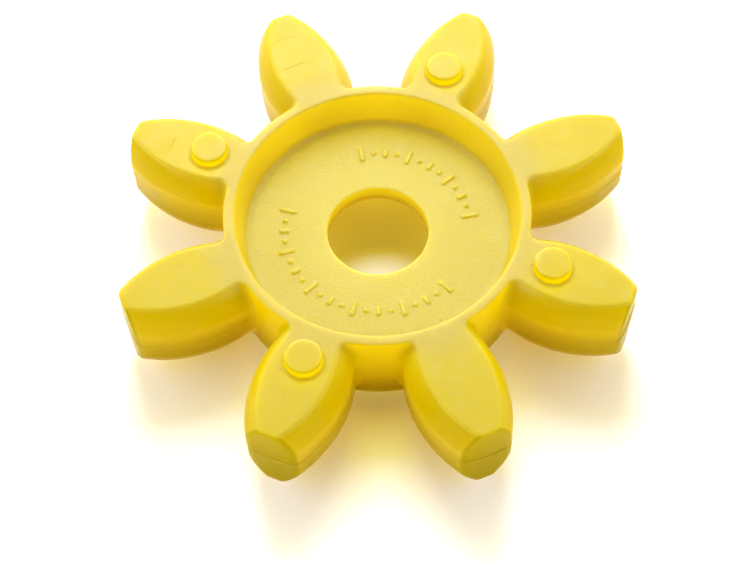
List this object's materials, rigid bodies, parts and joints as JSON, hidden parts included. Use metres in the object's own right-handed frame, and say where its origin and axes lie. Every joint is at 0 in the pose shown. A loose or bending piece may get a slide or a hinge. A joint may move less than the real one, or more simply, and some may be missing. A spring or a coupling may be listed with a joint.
{
  "type": "jaw coupling spider",
  "caption": "Star-shaped polyurethane insert of a jaw coupling: a short ring with a thin pierced web, crowned legs around it and small spacer pips on the legs.",
  "frame": {"origin": "on the turning axis, at mid-height of the moulding", "axes": "+Z along the turning axis, towards the side with the raised marks on its web; +X through the middle of a pocket between two legs"},
  "size_m": [0.1154, 0.1154, 0.0272],
  "materials": {
    "polyurethane": "matt, slightly translucent cast polyurethane, yellow"
  },
  "bodies": {
    "root": {"spider": "polyurethane"}
  },
  "joints": []
}
